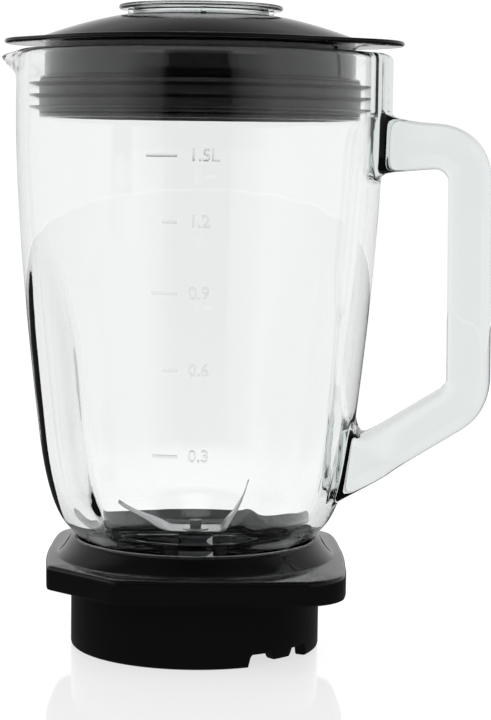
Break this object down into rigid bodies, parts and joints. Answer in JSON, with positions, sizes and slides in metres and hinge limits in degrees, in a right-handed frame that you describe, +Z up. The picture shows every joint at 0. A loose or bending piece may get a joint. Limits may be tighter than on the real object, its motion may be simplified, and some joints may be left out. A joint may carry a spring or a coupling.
{
  "type": "blender jar",
  "caption": "Glass blender jar with handle and spout, lid with clear measuring cap, screw collar and bladed unit with a drive coupling.",
  "frame": {"origin": "centre of the collar's foot, on the surface the jar stands on", "axes": "+Z up along the jug's axis, +X towards the handle, -X towards the spout"},
  "size_m": [0.1875, 0.1382, 0.2428],
  "materials": {
    "clear_plastic": "clear moulded plastic",
    "black_plastic": "polished black moulding",
    "black_rubber": "soft black elastomer",
    "jug_glass": "clear pressed glass",
    "grey_rubber": "silicone",
    "housing_aluminium": "turned",
    "plated_steel": "turned and plated",
    "brass": "machined",
    "bronze": "sintered, oil filled",
    "felt": "oiled wool felt",
    "dark_steel": "blackened steel",
    "blade_steel": "ground stainless steel",
    "coupling_plastic": "matt moulding"
  },
  "bodies": {
    "base": {"collar": "black_plastic", "blade_carrier": "black_plastic", "bearing_housing": "housing_aluminium", "housing_gasket": "black_rubber", "nut_washer": "plated_steel", "housing_nut": "brass", "upper_bush": "bronze", "lower_bush": "bronze", "oil_felt": "felt", "shaft_seal": "black_rubber"},
    "rotor": {"shaft": "plated_steel", "top_washer": "plated_steel", "blade_spacer": "dark_steel", "lower_blade": "blade_steel", "blade_washer": "plated_steel", "upper_blade": "blade_steel", "bottom_washer": "plated_steel", "circlip": "dark_steel", "coupling_insert": "plated_steel", "drive_coupling": "coupling_plastic"},
    "seal": {"jug_seal": "grey_rubber"},
    "jug": {"jug": "jug_glass"},
    "lid": {"lid": "black_plastic", "lid_seal": "black_rubber"},
    "cap": {"measuring_cap": "clear_plastic"}
  },
  "joints": [
    {"name": "blade_spin", "type": "hinge", "parent": "base", "child": "rotor", "pos_m": [0, 0, 0.02], "axis": [0, 0, 1], "continuous": true},
    {"name": "jug_rise", "type": "slide", "parent": "base", "child": "seal", "axis": [0, 0, 1], "range_m": [0, 0.008]},
    {"name": "jug_turn", "type": "hinge", "parent": "seal", "child": "jug", "pos_m": [0, 0, 0.03], "axis": [0, 0, 1], "range_deg": [0, 360]},
    {"name": "lid_lift", "type": "slide", "parent": "jug", "child": "lid", "axis": [0, 0, 1], "range_m": [0, 0.07]},
    {"name": "cap_lift", "type": "slide", "parent": "lid", "child": "cap", "axis": [0, 0, 1], "range_m": [0, 0.06]}
  ],
  "couplings": [
    {"joint": "jug_turn", "follows": "jug_rise", "rad_per_m": 785.4}
  ]
}
